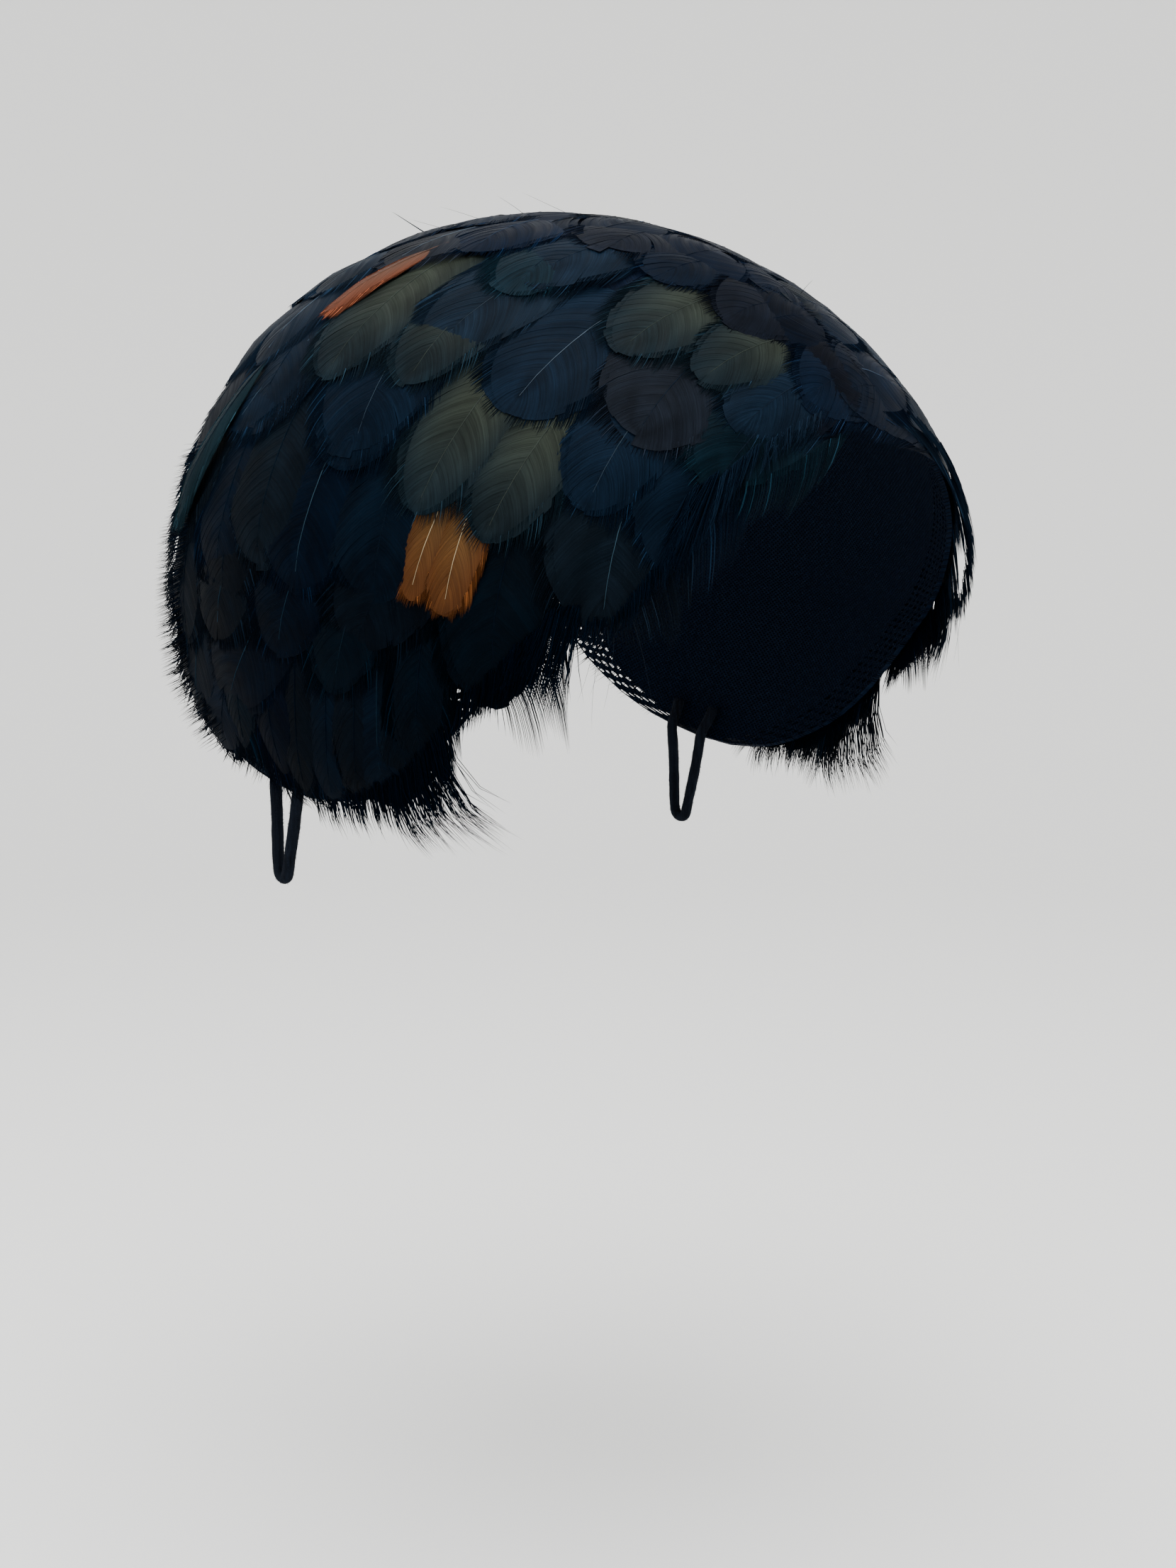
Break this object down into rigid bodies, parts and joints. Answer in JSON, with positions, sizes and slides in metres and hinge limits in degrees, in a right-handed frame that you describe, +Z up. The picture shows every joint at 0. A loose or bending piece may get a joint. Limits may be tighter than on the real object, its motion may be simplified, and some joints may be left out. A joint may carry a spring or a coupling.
{
  "type": "feathered bandeau headband",
  "caption": "Close-fitting half hat: a stiff black net base arching from ear to ear, covered with overlapping blue-black feathers, with velvet hairpin loops below its ends",
  "frame": {"origin": "where the crown of the head touches the underside of the net, on the middle line", "axes": "+Z up, the face towards -Y, the wearer's right side towards -X"},
  "size_m": [0.1706, 0.1555, 0.1486],
  "materials": {
    "black_net": "stiffened matte black millinery net",
    "blue_black_feather": "satin blue-black feather",
    "olive_feather": "soft olive-green feather",
    "rust_feather": "rust-orange feather",
    "amber_feather": "golden-brown feather",
    "black_velvet": "black velvet pile"
  },
  "bodies": {
    "root": {"net_frame": "black_net", "crown_feathers": "blue_black_feather", "right_feathers_1": "blue_black_feather", "right_feathers_2": "blue_black_feather", "right_feathers_3": "blue_black_feather", "right_feathers_4": "blue_black_feather", "right_feathers_5": "blue_black_feather", "right_feathers_6": "blue_black_feather", "left_feathers_1": "blue_black_feather", "left_feathers_2": "blue_black_feather", "left_feathers_3": "blue_black_feather", "left_feathers_4": "blue_black_feather", "left_feathers_5": "blue_black_feather", "left_feathers_6": "blue_black_feather", "olive_feather_1": "olive_feather", "olive_feather_2": "olive_feather", "olive_feather_3": "olive_feather", "olive_feather_4": "olive_feather", "olive_feather_5": "olive_feather", "olive_feather_6": "olive_feather", "rust_feather": "rust_feather", "amber_feather_back": "amber_feather", "amber_feather_front": "amber_feather", "pin_loop_right": "black_velvet", "pin_loop_left": "black_velvet"}
  },
  "joints": []
}
